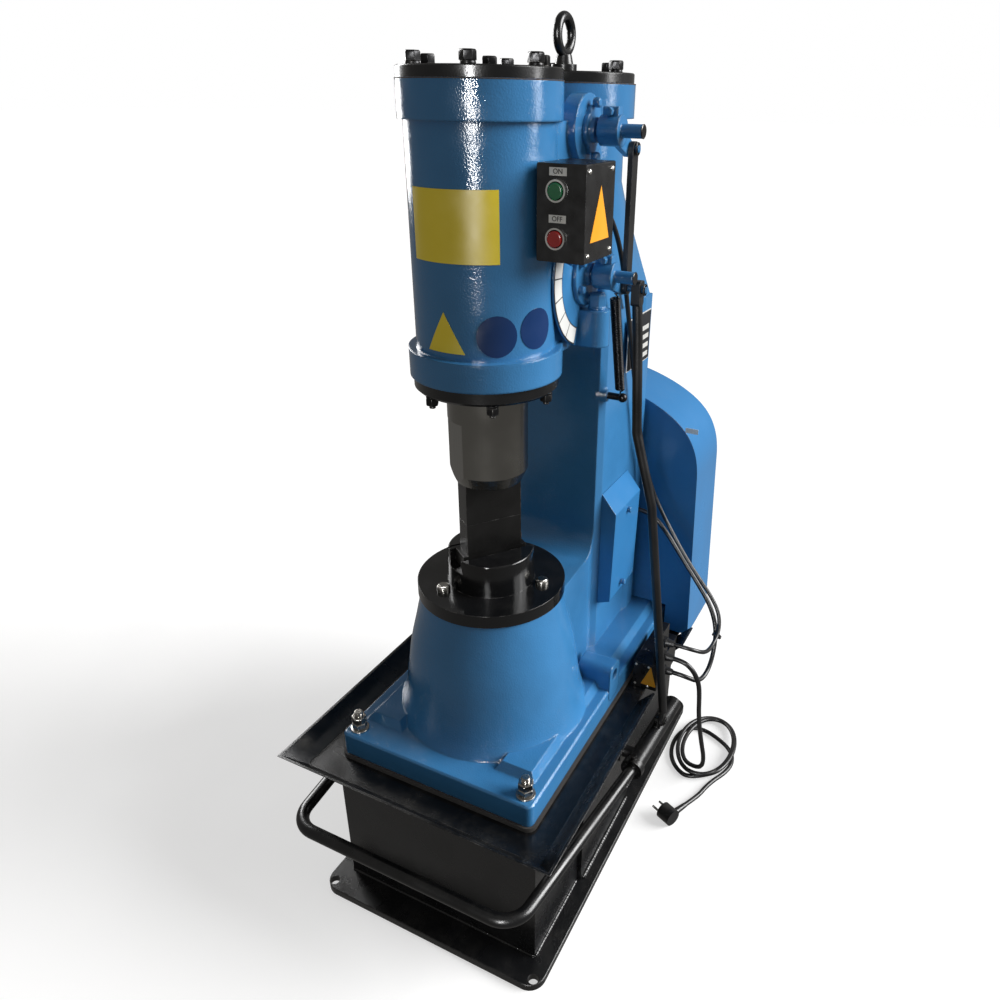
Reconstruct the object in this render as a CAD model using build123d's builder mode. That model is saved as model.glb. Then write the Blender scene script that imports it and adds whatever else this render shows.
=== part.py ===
"""Self-contained pneumatic forging hammer on a welded stand.

Millimetres, +Z up, the ram side towards -Y, the control side towards +X.
The origin is the centre of the stand's four floor holes, on the floor.
"""

from build123d import *
import math
import os

os.makedirs("parts", exist_ok=True)


def save(part, name):
    """Labels a finished piece and writes it as one STEP file."""
    part.label = name
    export_step(part, f"parts/{name}.step")


def cord(route, diameter, name):
    """Sweeps a cord along straight runs joined by arcs, as large as each pair of runs allows."""
    radii = []
    for before, point, after in zip(route, route[1:], route[2:]):
        run_in = Vector(*point) - Vector(*before)
        run_out = Vector(*after) - Vector(*point)
        half_turn = math.radians(run_in.get_angle(run_out) / 2)
        radii.append(0.45 * min(run_in.length, run_out.length) / math.tan(half_turn))
    with BuildPart() as tube:
        with BuildLine() as line:
            FilletPolyline(*route, radius=radii)
        with BuildSketch(Plane(origin=line.wire() @ 0, z_dir=line.wire() % 0)):
            Circle(diameter / 2)
        sweep()
    print(name, "length", round(line.wire().length), "smallest radius", round(min(radii)))
    save(tube.part, name)


# Layout of the machine
ram_y = -138
pump_y = 94
throat_y = 52
crankcase_rear_y = 250
guard_y = 262
running_gap = 0.08
loose_gap = 0.6

# Stand
plate_size = (454, 802, 14)
plate_corner = 30
floor_hole_inset = 16
floor_hole_spacing = (plate_size[0] - 2 * floor_hole_inset, plate_size[1] - 2 * floor_hole_inset)
floor_hole_r = 9
wall = 10
pedestal_x = 390
pedestal_front_y = -349
pedestal_rear_y = 340
tray_z = 302
tray_sheet = 5

# Casting
pad_height = 8
foot_x = 370
foot_front_y = -345
foot_rear_y = 341
foot_thickness = 42
foot_z = tray_z + tray_sheet + pad_height
deck_z = foot_z + foot_thickness + 14
anvil_z = 593.6
throat_top_z = 1000
head_z = 1362
column_x = 112
crankcase_top_z = 1030
pump_neck_z = 1225
front_bore_r = 72
pump_bore_r = 80
lug_bore = (-12, 381)
lug_bore_r = 10.5
foot_stud_spacing = (326, 638)
foot_stud_r = 9
passage = (126, -22)

# Ram and dies
ram_r = 61.9
contact_z = 729
ram_bottom_z = 800
ram_head_z = 1120
die_length = 95
die_width = 34
die_angle = 54
hub_z = 673

# Linkage
valve_y = -23
upper_valve_z = 1303
lower_valve_z = 1109
lever_arm = (42, -24)
lever_pin_r = 5
pivot_y = -38
pivot_z = 232
shaft_r = 12
treadle_bar_r = 11
tube_r = 17
rod_r = 8
rod_pin = (264, 42, 260)
peg = (64, 893)
spring_x = 137

# Cables, glands as Y and Z on the gland plate
gland_end_x = 268
control_gland = (80, 416)
mains_gland = (84, 380)
motor_gland = (88, 344)
control_cable_d = 8
motor_cable_d = 9
mains_d = 9.5
floor_gap = 0.3
coil_centre = (311, 281)
coil_radius_x = 72
coil_radius_y = 116
coil_height = 28


# Stand: floor plate with rounded corners and four holes
with BuildPart() as bottom_plate:
    with BuildSketch():
        RectangleRounded(plate_size[0], plate_size[1], plate_corner)
        with GridLocations(floor_hole_spacing[0], floor_hole_spacing[1], 2, 2):
            Circle(floor_hole_r, mode=Mode.SUBTRACT)
    extrude(amount=plate_size[2])
    chamfer(bottom_plate.edges().group_by(Axis.Z)[-1].filter_by(GeomType.LINE), 1)
save(bottom_plate.part, "bottom_plate")

# Stand: welded box pedestal, open inside, with bores for the treadle's cross shaft
pedestal_depth = pedestal_rear_y - pedestal_front_y
pedestal_mid_y = (pedestal_rear_y + pedestal_front_y) / 2
with BuildPart() as pedestal:
    with BuildSketch(Plane.XY.offset(plate_size[2])):
        with Locations((0, pedestal_mid_y)):
            Rectangle(pedestal_x, pedestal_depth)
            Rectangle(pedestal_x - 2 * wall, pedestal_depth - 2 * wall, mode=Mode.SUBTRACT)
    extrude(amount=tray_z - plate_size[2])
    with BuildSketch(Plane.YZ):
        with Locations((pivot_y, pivot_z)):
            Circle(shaft_r + running_gap)
    extrude(amount=pedestal_x, both=True, mode=Mode.SUBTRACT)
save(pedestal.part, "pedestal")

# Stand: side plates that carry the treadle's cross shaft, each with a bearing boss
with BuildPart() as pivot_plates:
    for side in (1, -1):
        with BuildSketch(Plane.YZ.offset(side * pedestal_x / 2)):
            with BuildLine():
                Polyline((-175, plate_size[2]), (57, plate_size[2]), (57, 120), (0, 286),
                         (-80, 286), (-175, 200), close=True)
            make_face()
        extrude(amount=side * 8)
        with BuildSketch(Plane.YZ.offset(side * (pedestal_x / 2 + 8))):
            with Locations((pivot_y, pivot_z)):
                Circle(24)
        extrude(amount=side * 22, taper=6)
    with BuildSketch(Plane.YZ):
        with Locations((pivot_y, pivot_z)):
            Circle(shaft_r + running_gap)
    extrude(amount=pedestal_x, both=True, mode=Mode.SUBTRACT)
save(pivot_plates.part, "pivot_plates")

# Stand: folded drip tray, lips flared at 45 degrees
tray_half_x = 226
tray_front_y = -393
tray_rear_y = 396
lip = 32
tray_mid_y = (tray_front_y + tray_rear_y) / 2
tray_depth = tray_rear_y - tray_front_y
with BuildPart() as tray:
    with BuildSketch(Plane.XY.offset(tray_z)):
        with Locations((0, tray_mid_y)):
            Rectangle(2 * tray_half_x, tray_depth)
    extrude(amount=tray_sheet)
    with BuildSketch(Plane.XY.offset(tray_z)):
        with Locations((0, tray_mid_y)):
            Rectangle(2 * tray_half_x, tray_depth)
    with BuildSketch(Plane.XY.offset(tray_z + lip + tray_sheet)):
        with Locations((0, tray_mid_y)):
            Rectangle(2 * (tray_half_x + lip), tray_depth + 2 * lip)
    loft()
    with BuildSketch(Plane.XY.offset(tray_z + tray_sheet)):
        with Locations((0, tray_mid_y)):
            Rectangle(2 * tray_half_x - 2, tray_depth - 2)
    with BuildSketch(Plane.XY.offset(tray_z + lip + tray_sheet + 1)):
        with Locations((0, tray_mid_y)):
            Rectangle(2 * (tray_half_x + lip - 4), tray_depth + 2 * lip - 8)
    loft(mode=Mode.SUBTRACT)
    # Lips stop short of the belt guard, and leave room for the switch box
    with BuildSketch(Plane.XY.offset(tray_z - 1)):
        for x_from, x_to, y_from, y_to in ((-300, 1 - tray_half_x, 255, 450), (tray_half_x - 1, 300, 255, 450),
                                           (-300, 300, tray_rear_y, 450), (tray_half_x - 1, 300, 20, 185)):
            with Locations(((x_from + x_to) / 2, (y_from + y_to) / 2)):
                Rectangle(x_to - x_from, y_to - y_from)
    extrude(amount=50, mode=Mode.SUBTRACT)
save(tray.part, "tray")

# Damping pad between tray and casting
with BuildPart() as damping_pad:
    with BuildSketch(Plane.XY.offset(tray_z + tray_sheet)):
        with Locations((0, (foot_front_y + foot_rear_y) / 2)):
            RectangleRounded(foot_x + 8, foot_rear_y - foot_front_y + 8, 16)
    extrude(amount=pad_height)
save(damping_pad.part, "damping_pad")

# Main casting: foot, anvil cone, column, crankcase and both cylinders in one piece
with BuildPart() as frame_casting:
    # Foot with rounded corners and a raised deck at each side
    with BuildSketch(Plane.XY.offset(foot_z)):
        with Locations((0, (foot_front_y + foot_rear_y) / 2)):
            RectangleRounded(foot_x, foot_rear_y - foot_front_y, 12)
    extrude(amount=foot_thickness)
    chamfer(frame_casting.faces().sort_by(Axis.Z)[-1].edges(), 3)
    with BuildSketch(Plane.XY.offset(foot_z + foot_thickness)):
        with BuildLine():
            Polyline((-166, -298), (-92, -298), (-92, -150), (92, -150), (92, -298), (166, -298),
                     (166, 285), (-166, 285), close=True)
        make_face()
    extrude(amount=deck_z - foot_z - foot_thickness, taper=35)
    # Anvil cone with a flared foot
    with BuildSketch(Plane.XZ.offset(-ram_y)):
        with BuildLine():
            Polyline((0, foot_z + 20), (171, foot_z + 20), (171, foot_z + foot_thickness))
            Spline((171, foot_z + foot_thickness), (143, 490), (121, anvil_z), tangents=((-0.5, 1), (-0.12, 1)))
            Polyline((121, anvil_z), (0, anvil_z), (0, foot_z + 20))
        make_face()
    revolve(axis=Axis((0, ram_y, 0), (0, 0, 1)))
    # Column: narrow face at the throat, widest at the crankcase
    with BuildSketch(Plane.XY.offset(foot_z + 20)):
        with BuildLine():
            Polyline((-116, -145), (116, -145), (108, 30), (104, throat_y), (column_x, 66), (column_x, 200),
                     (118, 218), (118, crankcase_rear_y), (-118, crankcase_rear_y), (-118, 218),
                     (-column_x, 200), (-column_x, 66), (-104, throat_y), (-108, 30), close=True)
        make_face()
    extrude(amount=crankcase_top_z - foot_z - 20)
    # Throat, open to the front, with a large radius where it meets the anvil shoulder
    with BuildSketch(Plane.YZ) as throat:
        with BuildLine():
            Polyline((-300, anvil_z), (throat_y, anvil_z), (throat_y, 1100), (-300, 1100), close=True)
        make_face()
        fillet(throat.vertices().sort_by_distance((0, throat_y, anvil_z))[0], 46)
    extrude(amount=200, both=True, mode=Mode.SUBTRACT)
    # Flare from the square crankcase up to the round pump cylinder
    with BuildSketch(Plane.XY.offset(crankcase_top_z)):
        with Locations((0, (throat_y + crankcase_rear_y) / 2)):
            RectangleRounded(232, crankcase_rear_y - throat_y, 10)
    with BuildSketch(Plane.XY.offset(pump_neck_z)):
        with Locations((0, pump_y)):
            Circle(102)
    loft()
    with BuildSketch(Plane.XY.offset(pump_neck_z)):
        with Locations((0, pump_y)):
            Circle(102)
    extrude(amount=head_z - pump_neck_z)
    with BuildSketch(Plane.XY.offset(1315)):
        with Locations((0, pump_y)):
            Circle(116)
    extrude(amount=head_z - 1315)
    # Front cylinder with its top and bottom flanges
    with BuildSketch(Plane.XY.offset(976)):
        with Locations((0, ram_y)):
            Circle(101.5)
    extrude(amount=head_z - 976)
    for low, high, radius in ((976, 1017, 113), (1315, head_z, 108.5)):
        with BuildSketch(Plane.XY.offset(low)):
            with Locations((0, ram_y)):
                Circle(radius)
        extrude(amount=high - low)
    # Bridge between the cylinders, its underside curving down into the column
    with BuildSketch(Plane.YZ):
        with BuildLine():
            Polyline((-100, throat_top_z), (10, throat_top_z))
            RadiusArc((10, throat_top_z), (throat_y, throat_top_z - 42), 42)
            Polyline((throat_y, throat_top_z - 42), (80, throat_top_z - 42), (80, 1315), (-100, 1315),
                     (-100, throat_top_z))
        make_face()
    extrude(amount=92, both=True)
    # Air passage beside the lower valve
    with BuildSketch(Plane.XY.offset(1003)):
        with Locations(passage):
            Circle(20)
        with Locations((passage[0] - 20, passage[1])):
            Rectangle(40, 40)
    extrude(amount=55)
    # Valve bosses, spring peg boss and lifting lug on the control side
    for z, radius in ((upper_valve_z, 46), (lower_valve_z, 50)):
        with BuildSketch(Plane.YZ.offset(80)):
            with Locations((valve_y, z)):
                Circle(radius)
        extrude(amount=24)
    with BuildSketch(Plane.YZ.offset(98)):
        with Locations(peg):
            Circle(15)
    extrude(amount=18, taper=14)
    with BuildSketch(Plane.YZ.offset(122)) as lug_side:
        with Locations((lug_bore[0], lug_bore[1] - 14)):
            Rectangle(46, 76)
        fillet(lug_side.vertices().group_by(Axis.Z)[-1], 14)
    extrude(amount=64)
    # Bores for ram and pump piston, crank chamber and motor pocket open to the rear
    with BuildSketch(Plane.XY.offset(970)):
        with Locations((0, ram_y)):
            Circle(front_bore_r)
    extrude(amount=head_z - 960, mode=Mode.SUBTRACT)
    with BuildSketch(Plane.XY.offset(1010)):
        with Locations((0, pump_y)):
            Circle(pump_bore_r)
    extrude(amount=head_z - 1000, mode=Mode.SUBTRACT)
    with BuildSketch(Plane.XZ.offset(-crankcase_rear_y)):
        with Locations((0, 805)):
            RectangleRounded(190, 400, 20)
        with Locations((0, 475)):
            RectangleRounded(180, 190, 20)
    extrude(amount=168, mode=Mode.SUBTRACT)
    with BuildSketch(Plane.YZ.offset(200)):
        with Locations(lug_bore):
            Circle(lug_bore_r)
    extrude(amount=-60, mode=Mode.SUBTRACT)
    # Holes for the four stand studs, and bores that the valve shafts turn in
    with BuildSketch(Plane.XY.offset(foot_z)):
        with Locations((0, -2)):
            with GridLocations(foot_stud_spacing[0], foot_stud_spacing[1], 2, 2):
                Circle(foot_stud_r)
    extrude(amount=60, mode=Mode.SUBTRACT)
    with BuildSketch(Plane.YZ.offset(110)):
        with Locations((valve_y, upper_valve_z), (valve_y, lower_valve_z)):
            Circle(10)
    extrude(amount=-60, mode=Mode.SUBTRACT)
save(frame_casting.part, "frame_casting")

# Side cover on the column, wedge-shaped, bolted on the control side
with BuildPart() as side_cover:
    with BuildSketch(Plane.XZ.offset(-67)) as cover_end:
        with BuildLine():
            Polyline((column_x, 704), (141, 668), (137, 480), (column_x, 470), close=True)
        make_face()
        fillet(cover_end.vertices().group_by(Axis.X)[-1], 6)
    extrude(amount=-122)
save(side_cover.part, "side_cover")

# Round covers on both cylinders, with a shallow raised rim
cover_rim = 38
for label, centre_y, radius in (("ram_cylinder_cover", ram_y, 107.5), ("pump_cylinder_cover", pump_y, 113.5)):
    with BuildPart() as cover:
        with BuildSketch(Plane.XY.offset(head_z)):
            with Locations((0, centre_y)):
                Circle(radius)
        extrude(amount=14)
        with BuildSketch(Plane.XY.offset(head_z + 14)):
            with Locations((0, centre_y)):
                Circle(radius - cover_rim)
        extrude(amount=-3, mode=Mode.SUBTRACT)
        chamfer(cover.edges().group_by(Axis.Z)[-1].sort_by(SortBy.LENGTH)[-1], 1.5)
    save(cover.part, label)

# Lifting eye on the pump cover
cover_bolt_r = 92
eye_centre = (cover_bolt_r * math.cos(math.radians(-60)), pump_y + cover_bolt_r * math.sin(math.radians(-60)),
              head_z + 14)
with BuildPart() as lifting_eye:
    with BuildSketch(Plane.XY.offset(eye_centre[2])):
        with Locations((eye_centre[0], eye_centre[1])):
            Circle(18)
    extrude(amount=8)
    with BuildSketch(Plane.XY.offset(eye_centre[2] + 8)):
        with Locations((eye_centre[0], eye_centre[1])):
            Circle(13)
    extrude(amount=12, taper=12)
    with Locations(Location((eye_centre[0], eye_centre[1], eye_centre[2] + 44), (0, 90, 0))):
        Torus(22, 6.5)
save(lifting_eye.part, "lifting_eye")

# Gland ring that guides the ram below the front cylinder
with BuildPart() as gland_ring:
    with BuildSketch(Plane.XY.offset(955)):
        with Locations((0, ram_y)):
            Circle(108)
            Circle(ram_r + running_gap, mode=Mode.SUBTRACT)
    extrude(amount=21)
    chamfer(gland_ring.edges().group_by(Axis.Z)[0].sort_by(SortBy.LENGTH)[-1], 4)
save(gland_ring.part, "gland_ring")

# Anvil cap: flange and hub in one piece, slotted along the die
slot_plane = Plane(origin=(0, ram_y, hub_z), x_dir=(1, 0, 0), z_dir=(0, 0, 1)).rotated((0, 0, die_angle))
with BuildPart() as anvil_cap:
    with BuildSketch(Plane.XY.offset(anvil_z)):
        with Locations((0, ram_y)):
            Circle(124.4)
    extrude(amount=22)
    with BuildSketch(Plane.XY.offset(anvil_z + 22)):
        with Locations((0, ram_y)):
            Circle(73)
    extrude(amount=hub_z - anvil_z - 22, taper=1.5)
    fillet(anvil_cap.edges().group_by(Axis.Z)[-1], 3)
    with BuildSketch(slot_plane.offset(1)):
        Rectangle(200, die_width + 22)
    extrude(amount=-23, taper=-10, mode=Mode.SUBTRACT)
save(anvil_cap.part, "anvil_cap")

# Lower die on its dovetail foot, and the taper key that wedges it
with BuildPart() as lower_die:
    with BuildSketch(slot_plane):
        Rectangle(die_length, die_width)
    extrude(amount=contact_z - hub_z)
    with BuildSketch(slot_plane):
        Rectangle(die_length + 16, die_width)
    extrude(amount=-22, taper=-4)
save(lower_die.part, "lower_die")

with BuildPart() as die_key:
    with BuildSketch(slot_plane.offset(-1)):
        with Locations((0, die_width / 2 + 5.9)):
            Rectangle(die_length + 36, 8)
    extrude(amount=-21)
save(die_key.part, "die_key")

# Ram: round bar with a chamfered foot, a flat down its outer side and a bored head inside the cylinder
with BuildPart() as ram:
    with BuildSketch(Plane.XY.offset(ram_bottom_z)):
        with Locations((0, ram_y)):
            Circle(ram_r)
    extrude(amount=ram_head_z - ram_bottom_z)
    chamfer(ram.edges().group_by(Axis.Z)[0], length=20, length2=9)
    with BuildSketch(Plane.XY.offset(ram_head_z)):
        with Locations((0, ram_y)):
            Circle(front_bore_r - loose_gap)
    extrude(amount=42)
    with BuildSketch(Plane(origin=(0, ram_y, ram_bottom_z), x_dir=(1, 0, 0), z_dir=(0, 0, 1)).rotated((0, 0, -126))):
        with Locations((ram_r + 5, 0)):
            Rectangle(24, 70)
    extrude(amount=105, mode=Mode.SUBTRACT)
save(ram.part, "ram")

with BuildPart() as upper_die:
    with BuildSketch(slot_plane.offset(contact_z - hub_z)):
        Rectangle(die_length, die_width)
    extrude(amount=ram_bottom_z - contact_z)
save(upper_die.part, "upper_die")

# Oval valve covers with a turned neck and a bore for the shaft
with BuildPart() as valve_covers:
    for z in (upper_valve_z, lower_valve_z):
        with BuildSketch(Plane.YZ.offset(104)) as oval:
            with BuildLine():
                Polyline((valve_y - 22, z), (valve_y, z + 46), (valve_y + 22, z), (valve_y, z - 46), close=True)
            make_face()
            fillet(oval.vertices(), 11)
            with Locations((valve_y, z)):
                Circle(24)
        extrude(amount=7)
        with BuildSketch(Plane.YZ.offset(111)):
            with Locations((valve_y, z)):
                Circle(17)
        extrude(amount=7, taper=8)
        with BuildSketch(Plane.YZ.offset(100)):
            with Locations((valve_y, z)):
                Circle(9 + running_gap)
        extrude(amount=30, mode=Mode.SUBTRACT)
save(valve_covers.part, "valve_covers")

with BuildPart() as passage_plug:
    with BuildSketch(Plane.XY.offset(1058)):
        with Locations(passage):
            Circle(14)
    extrude(amount=4)
    with BuildSketch(Plane.XY.offset(1062)):
        with Locations(passage):
            RegularPolygon(14, 6)
    extrude(amount=20)
    chamfer(passage_plug.edges().group_by(Axis.Z)[-1], 1.5)
save(passage_plug.part, "passage_plug")

# Valve levers: shaft, split hub and arm; each lever carries its own pin
for label, z, pin_from, pin_to in (("upper_lever", upper_valve_z, 143, 164), ("lower_lever", lower_valve_z, 134, 188)):
    pin_y = valve_y + lever_arm[0]
    pin_z = z + lever_arm[1]
    with BuildPart() as lever:
        with BuildSketch(Plane.YZ.offset(84)):
            with Locations((valve_y, z)):
                Circle(9)
        extrude(amount=100)
        with BuildSketch(Plane.YZ.offset(124)):
            with Locations((valve_y, z)):
                Circle(20)
        extrude(amount=30)
        with BuildSketch(Plane.YZ.offset(128)) as clamp_ear:
            with Locations((valve_y, z + 21)):
                Rectangle(18, 18)
            fillet(clamp_ear.vertices().group_by(Axis.Y)[-1], 4)
        extrude(amount=22)
        with BuildSketch(Plane.YZ.offset(142)):
            with BuildLine():
                Polyline((valve_y - 6, z - 17), (pin_y - 4, pin_z - 10), (pin_y + 9, pin_z + 6),
                         (valve_y + 8, z + 17), close=True)
            make_face()
            with Locations((pin_y, pin_z)):
                Circle(11)
        extrude(amount=8)
        with BuildSketch(Plane.YZ.offset(pin_from)):
            with Locations((pin_y, pin_z)):
                Circle(lever_pin_r)
        extrude(amount=pin_to - pin_from)
    save(lever.part, label)

# Flat link bar that joins both valve levers
link_y = valve_y + lever_arm[0]
link_low = lower_valve_z + lever_arm[1]
link_high = upper_valve_z + lever_arm[1]
with BuildPart() as link_bar:
    with BuildSketch(Plane.YZ.offset(151)) as link_side:
        with Locations((link_y, (link_low + link_high) / 2)):
            SlotCenterToCenter(link_high - link_low, 20, rotation=90)
        with Locations((link_y, link_low), (link_y, link_high)):
            Circle(lever_pin_r + running_gap, mode=Mode.SUBTRACT)
    extrude(amount=8)
save(link_bar.part, "link_bar")

# Operating rod: eye on the lower lever's pin, a joggle outward past the casting, eye on the treadle
clevis_gap = 1.2
with BuildPart() as operating_rod:
    with BuildLine() as rod_line:
        FilletPolyline((174, link_y, link_low - 12), (178, 21, 1010), (185, 26, 850), (218, 32, 722),
                       (270, 41, 284), radius=45)
    with BuildSketch(Plane(origin=rod_line.wire() @ 0, z_dir=rod_line.wire() % 0)):
        Circle(rod_r)
    sweep()
    with BuildSketch(Plane.YZ.offset(167)) as rod_head:
        with Locations((link_y, link_low - 6)):
            Rectangle(19, 38)
        fillet(rod_head.vertices(), 5)
    extrude(amount=14)
    with BuildSketch(Plane.YZ.offset(160)):
        with Locations((link_y, link_low)):
            Circle(lever_pin_r + clevis_gap)
    extrude(amount=30, mode=Mode.SUBTRACT)
    with BuildSketch(Plane.YZ.offset(rod_pin[0] + 2)):
        with BuildLine():
            Polyline((rod_pin[1] - 11, rod_pin[2]), (rod_pin[1] - 7, rod_pin[2] + 34),
                     (rod_pin[1] + 7, rod_pin[2] + 34), (rod_pin[1] + 11, rod_pin[2]), close=True)
        make_face()
        with Locations((rod_pin[1], rod_pin[2])):
            Circle(11)
        with Locations((rod_pin[1], rod_pin[2])):
            Circle(5 + running_gap, mode=Mode.SUBTRACT)
    extrude(amount=8)
save(operating_rod.part, "operating_rod")

# Treadle: bent bar around the pedestal, socket tubes behind it, cross shaft and rod lug
bar_front_y = -453
with BuildPart() as treadle:
    with BuildLine() as bar_line:
        FilletPolyline((255, -70, pivot_z), (214, bar_front_y, pivot_z), (-214, bar_front_y, pivot_z),
                       (-255, -70, pivot_z), radius=45)
    with BuildSketch(Plane(origin=bar_line.wire() @ 0, z_dir=bar_line.wire() % 0)):
        Circle(treadle_bar_r)
    sweep()
    for side in (1, -1):
        with BuildSketch(Plane(origin=(side * 254, -79, pivot_z), z_dir=(side * 0.045, 1, 0))):
            Circle(tube_r)
        extrude(amount=212)
        with BuildSketch(Plane(origin=(side * 254, -79, pivot_z), z_dir=(side * 0.045, 1, 0))):
            Circle(tube_r + 4)
        extrude(amount=14)
    with BuildSketch(Plane.YZ):
        with Locations((pivot_y, pivot_z)):
            Circle(shaft_r)
    extrude(amount=256, both=True)
    with BuildSketch(Plane.YZ.offset(rod_pin[0] - 7)) as lug_plate:
        with Locations((rod_pin[1], rod_pin[2] - 8)):
            Rectangle(24, 38)
        fillet(lug_plate.vertices().group_by(Axis.Z)[-1], 11)
    extrude(amount=8)
    with BuildSketch(Plane.YZ.offset(rod_pin[0] - 5)):
        with Locations((rod_pin[1], rod_pin[2])):
            Circle(5)
    extrude(amount=20)
save(treadle.part, "treadle")

# Return spring, as its closed outer shape with a hook at each end, and the peg that it pulls against
spring_low = (spring_x, peg[0] - 1, peg[1] + 15)
spring_high = (spring_x, valve_y + lever_arm[0] + 2, lower_valve_z + lever_arm[1] - 18)
with BuildPart() as return_spring:
    with BuildSketch(Plane.XY.offset(spring_low[2])):
        with Locations(spring_low[:2]):
            Circle(8.5)
    with BuildSketch(Plane.XY.offset(spring_high[2])):
        with Locations(spring_high[:2]):
            Circle(8.5)
    loft()
    with BuildSketch(Plane.XY.offset(spring_low[2])):
        with Locations(spring_low[:2]):
            Circle(2.2)
    extrude(amount=-7.2)
    with BuildSketch(Plane.XY.offset(spring_high[2])):
        with Locations(spring_high[:2]):
            Circle(2.2)
    extrude(amount=12.5)
save(return_spring.part, "return_spring")

with BuildPart() as spring_peg:
    with BuildSketch(Plane.YZ.offset(116)):
        with Locations(peg):
            Circle(6)
    extrude(amount=24)
    with Locations((142, peg[0], peg[1])):
        Sphere(8)
save(spring_peg.part, "spring_peg")

# Push-button station with a lid, on the side of the front cylinder
box_x = (103.5, 172)
box_y = (-178, -87)
box_z = (1151, 1270)
with BuildPart() as control_box:
    with BuildSketch(Plane.XZ.offset(-box_y[0])) as box_face:
        with Locations(((box_x[0] + box_x[1]) / 2, (box_z[0] + box_z[1]) / 2)):
            RectangleRounded(box_x[1] - box_x[0], box_z[1] - box_z[0], 2)
    extrude(amount=box_y[0] - box_y[1])
    with BuildSketch(Plane.XZ.offset(-box_y[0] + 1)):
        with Locations((131.5, 1238), (131.5, 1180.5)):
            Circle(10.6)
    extrude(amount=-14, mode=Mode.SUBTRACT)
save(control_box.part, "control_box")

for label, z in (("start_button", 1238), ("stop_button", 1180.5)):
    with BuildPart() as button:
        with BuildSketch(Plane.XZ.offset(-box_y[0] + 7)):
            with Locations((131.5, z)):
                Circle(10)
        extrude(amount=-12)
        fillet(button.edges().group_by(Axis.Y)[0], 2)
    save(button.part, label)

with BuildPart() as button_bezels:
    with BuildSketch(Plane.XZ.offset(-box_y[0])):
        with Locations((131.5, 1238), (131.5, 1180.5)):
            Circle(14.5)
        with Locations((131.5, 1238), (131.5, 1180.5)):
            Circle(10.6, mode=Mode.SUBTRACT)
    extrude(amount=4, taper=12)
save(button_bezels.part, "button_bezels")

# Rear bearing plate, motor in the column's pocket, and the belt guard
with BuildPart() as bearing_plate:
    with BuildSketch(Plane.XZ.offset(-crankcase_rear_y)):
        with Locations((0, 800)):
            RectangleRounded(222, 440, 24)
    extrude(amount=-(guard_y - crankcase_rear_y))
save(bearing_plate.part, "bearing_plate")

with BuildPart() as motor:
    with BuildSketch(Plane.XZ.offset(-90)):
        with Locations((0, 466)):
            Circle(76)
    extrude(amount=-166)
    with BuildSketch(Plane.XZ.offset(-120)):
        with Locations((0, 388)):
            Rectangle(130, 16)
    extrude(amount=-110)
    with BuildSketch(Plane.XZ.offset(-254)):
        with Locations((0, 466)):
            Circle(14)
    extrude(amount=-8)
save(motor.part, "motor")

with BuildPart() as belt_guard:
    for inset, start_y, depth, mode in ((0, guard_y, 140, Mode.ADD), (3, guard_y + 3, 134, Mode.SUBTRACT)):
        with BuildSketch(Plane.XZ.offset(-start_y)):
            with BuildLine():
                Line((0, 312 - 4 * inset), (245 - inset, 312 - 4 * inset))
                Line((245 - inset, 312 - 4 * inset), (231 - inset, 675))
                Spline((231 - inset, 675), (189 - inset, 782 - inset), (78, 838 - inset), (0, 846 - inset),
                       tangents=((-0.03, 1), (-1, 0)))
                Line((0, 846 - inset), (0, 312 - 4 * inset))
            make_face()
            mirror(about=Plane.YZ)
        extrude(amount=-depth, mode=mode)
    # The front wall is cut away over the casting's foot
    with BuildSketch(Plane.XY.offset(280)):
        with Locations((0, guard_y)):
            Rectangle(foot_x + 12, 10)
    extrude(amount=deck_z + 2 - 280, mode=Mode.SUBTRACT)
save(belt_guard.part, "belt_guard")

# Switch box on the tray, with an upright gland plate
with BuildPart() as switch_box:
    with BuildSketch(Plane.XY.offset(tray_z + tray_sheet)):
        with Locations((221, 120)):
            RectangleRounded(50, 116, 3)
    extrude(amount=58)
    with BuildSketch(Plane.XY.offset(tray_z + tray_sheet + 40)):
        with Locations((240, 90)):
            Rectangle(12, 50)
    extrude(amount=88)
save(switch_box.part, "switch_box")

# Three glands stacked on the plate, each a hexagon with a tapered strain relief
with BuildPart() as cable_glands:
    for y, z in (control_gland, mains_gland, motor_gland):
        with BuildSketch(Plane.YZ.offset(246)):
            with Locations((y, z)):
                RegularPolygon(11, 6)
        extrude(amount=8)
        with BuildSketch(Plane.YZ.offset(254)):
            with Locations((y, z)):
                Circle(8.5)
        extrude(amount=gland_end_x - 254, taper=10)
save(cable_glands.part, "cable_glands")

# Control cable: out of the top gland, round behind the rod, up the column and into the button station
cord([(gland_end_x, control_gland[0], control_gland[1]), (289, control_gland[0], control_gland[1]), (308, 88, 410),
      (319, 105, 398), (323, 131, 386), (325, 161, 384), (327, 189, 399), (319, 204, 428), (298, 210, 458),
      (268, 214, 490), (232, 220, 530), (196, 229, 576), (163, 233, 626), (139, 227, 690), (129, 205, 770),
      (126, 178, 850), (125, 149, 930), (124, 121, 1010), (122, 98, 1080), (118, 76, 1140), (115, 42, 1184),
      (119, -4, 1206), (130, -38, 1212), (134, -64, 1212), (134, box_y[1], 1212)],
     control_cable_d, "control_cable")

# Motor cable: out of the bottom gland, beside the control cable and back into the column
cord([(gland_end_x, motor_gland[0], motor_gland[1]), (286, motor_gland[0], motor_gland[1]), (302, 94, 337),
      (312, 107, 326), (319, 130, 318), (323, 158, 326), (323, 182, 352), (318, 202, 392),
      (298, 212, 436), (262, 220, 478),
      (222, 227, 524), (186, 232, 568), (150, 235, 600), (118, 235, 600)],
     motor_cable_d, "motor_cable")

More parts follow.
